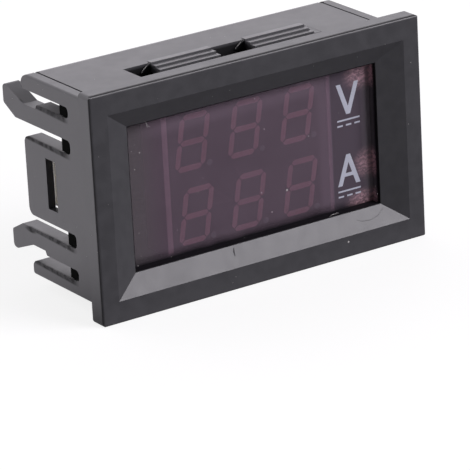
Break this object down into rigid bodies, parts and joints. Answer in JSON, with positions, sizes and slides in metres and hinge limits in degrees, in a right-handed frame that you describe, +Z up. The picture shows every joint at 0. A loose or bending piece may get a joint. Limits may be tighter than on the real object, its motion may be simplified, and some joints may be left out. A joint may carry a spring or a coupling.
{
  "type": "digital panel meter",
  "caption": "Rectangular snap-in panel meter: bezel with sloped recess, tinted window over an LED readout, open-backed body with snap arms, ratchet fingers and circuit board.",
  "frame": {"origin": "Centre of the bezel's rear face, in the plane that seats on the panel, on the axis of the panel cut-out.", "axes": "+X to the right as the dial is read, +Y back into the panel, +Z up."},
  "size_m": [0.048, 0.0226, 0.029],
  "materials": {
    "housing_plastic": "fine matt moulded black-grey ABS",
    "filter": "smooth dark tinted acrylic",
    "display_plastic": "satin grey moulding",
    "display_print": "dark printed face",
    "segment_resin": "pale diffusing resin, unlit",
    "tinned_metal": "bright tin plating",
    "board": "dark solder mask on glass fibre",
    "header_nylon": "natural white nylon",
    "shunt_alloy": "drawn copper-manganese wire",
    "chip_resin": "black moulding compound",
    "capacitor_resin": "amber moulded resin",
    "resistor_film": "glazed black film",
    "capacitor_ceramic": "unglazed tan ceramic",
    "trimmer_ceramic": "off-white ceramic",
    "rotor_brass": "plain brass"
  },
  "bodies": {
    "meter": {"housing": "housing_plastic", "filter_window": "filter", "display_case": "display_plastic", "display_face": "display_print", "display_segments": "segment_resin", "display_pins": "tinned_metal", "circuit_board": "board", "supply_header": "header_nylon", "supply_pins": "tinned_metal", "load_header": "header_nylon", "load_pins": "tinned_metal", "current_shunt": "shunt_alloy", "microcontroller": "chip_resin", "microcontroller_leads": "tinned_metal", "amplifier": "chip_resin", "amplifier_leads": "tinned_metal", "voltage_regulator": "chip_resin", "regulator_leads": "tinned_metal", "input_capacitor": "capacitor_resin", "protection_diode": "chip_resin", "chip_resistors": "resistor_film", "chip_capacitors": "capacitor_ceramic", "volt_trimmer_base": "trimmer_ceramic", "amp_trimmer_base": "trimmer_ceramic"},
    "volt_rotor": {"volt_trimmer_rotor": "rotor_brass"},
    "amp_rotor": {"amp_trimmer_rotor": "rotor_brass"}
  },
  "joints": [
    {"name": "volt_trimmer_turn", "type": "hinge", "parent": "meter", "child": "volt_rotor", "pos_m": [-0.01757, 0.0083, 0.008], "axis": [0, 1, 0], "range_deg": [-130, 130]},
    {"name": "amp_trimmer_turn", "type": "hinge", "parent": "meter", "child": "amp_rotor", "pos_m": [-0.01237, 0.0083, 0.008], "axis": [0, 1, 0], "range_deg": [-130, 130]}
  ]
}
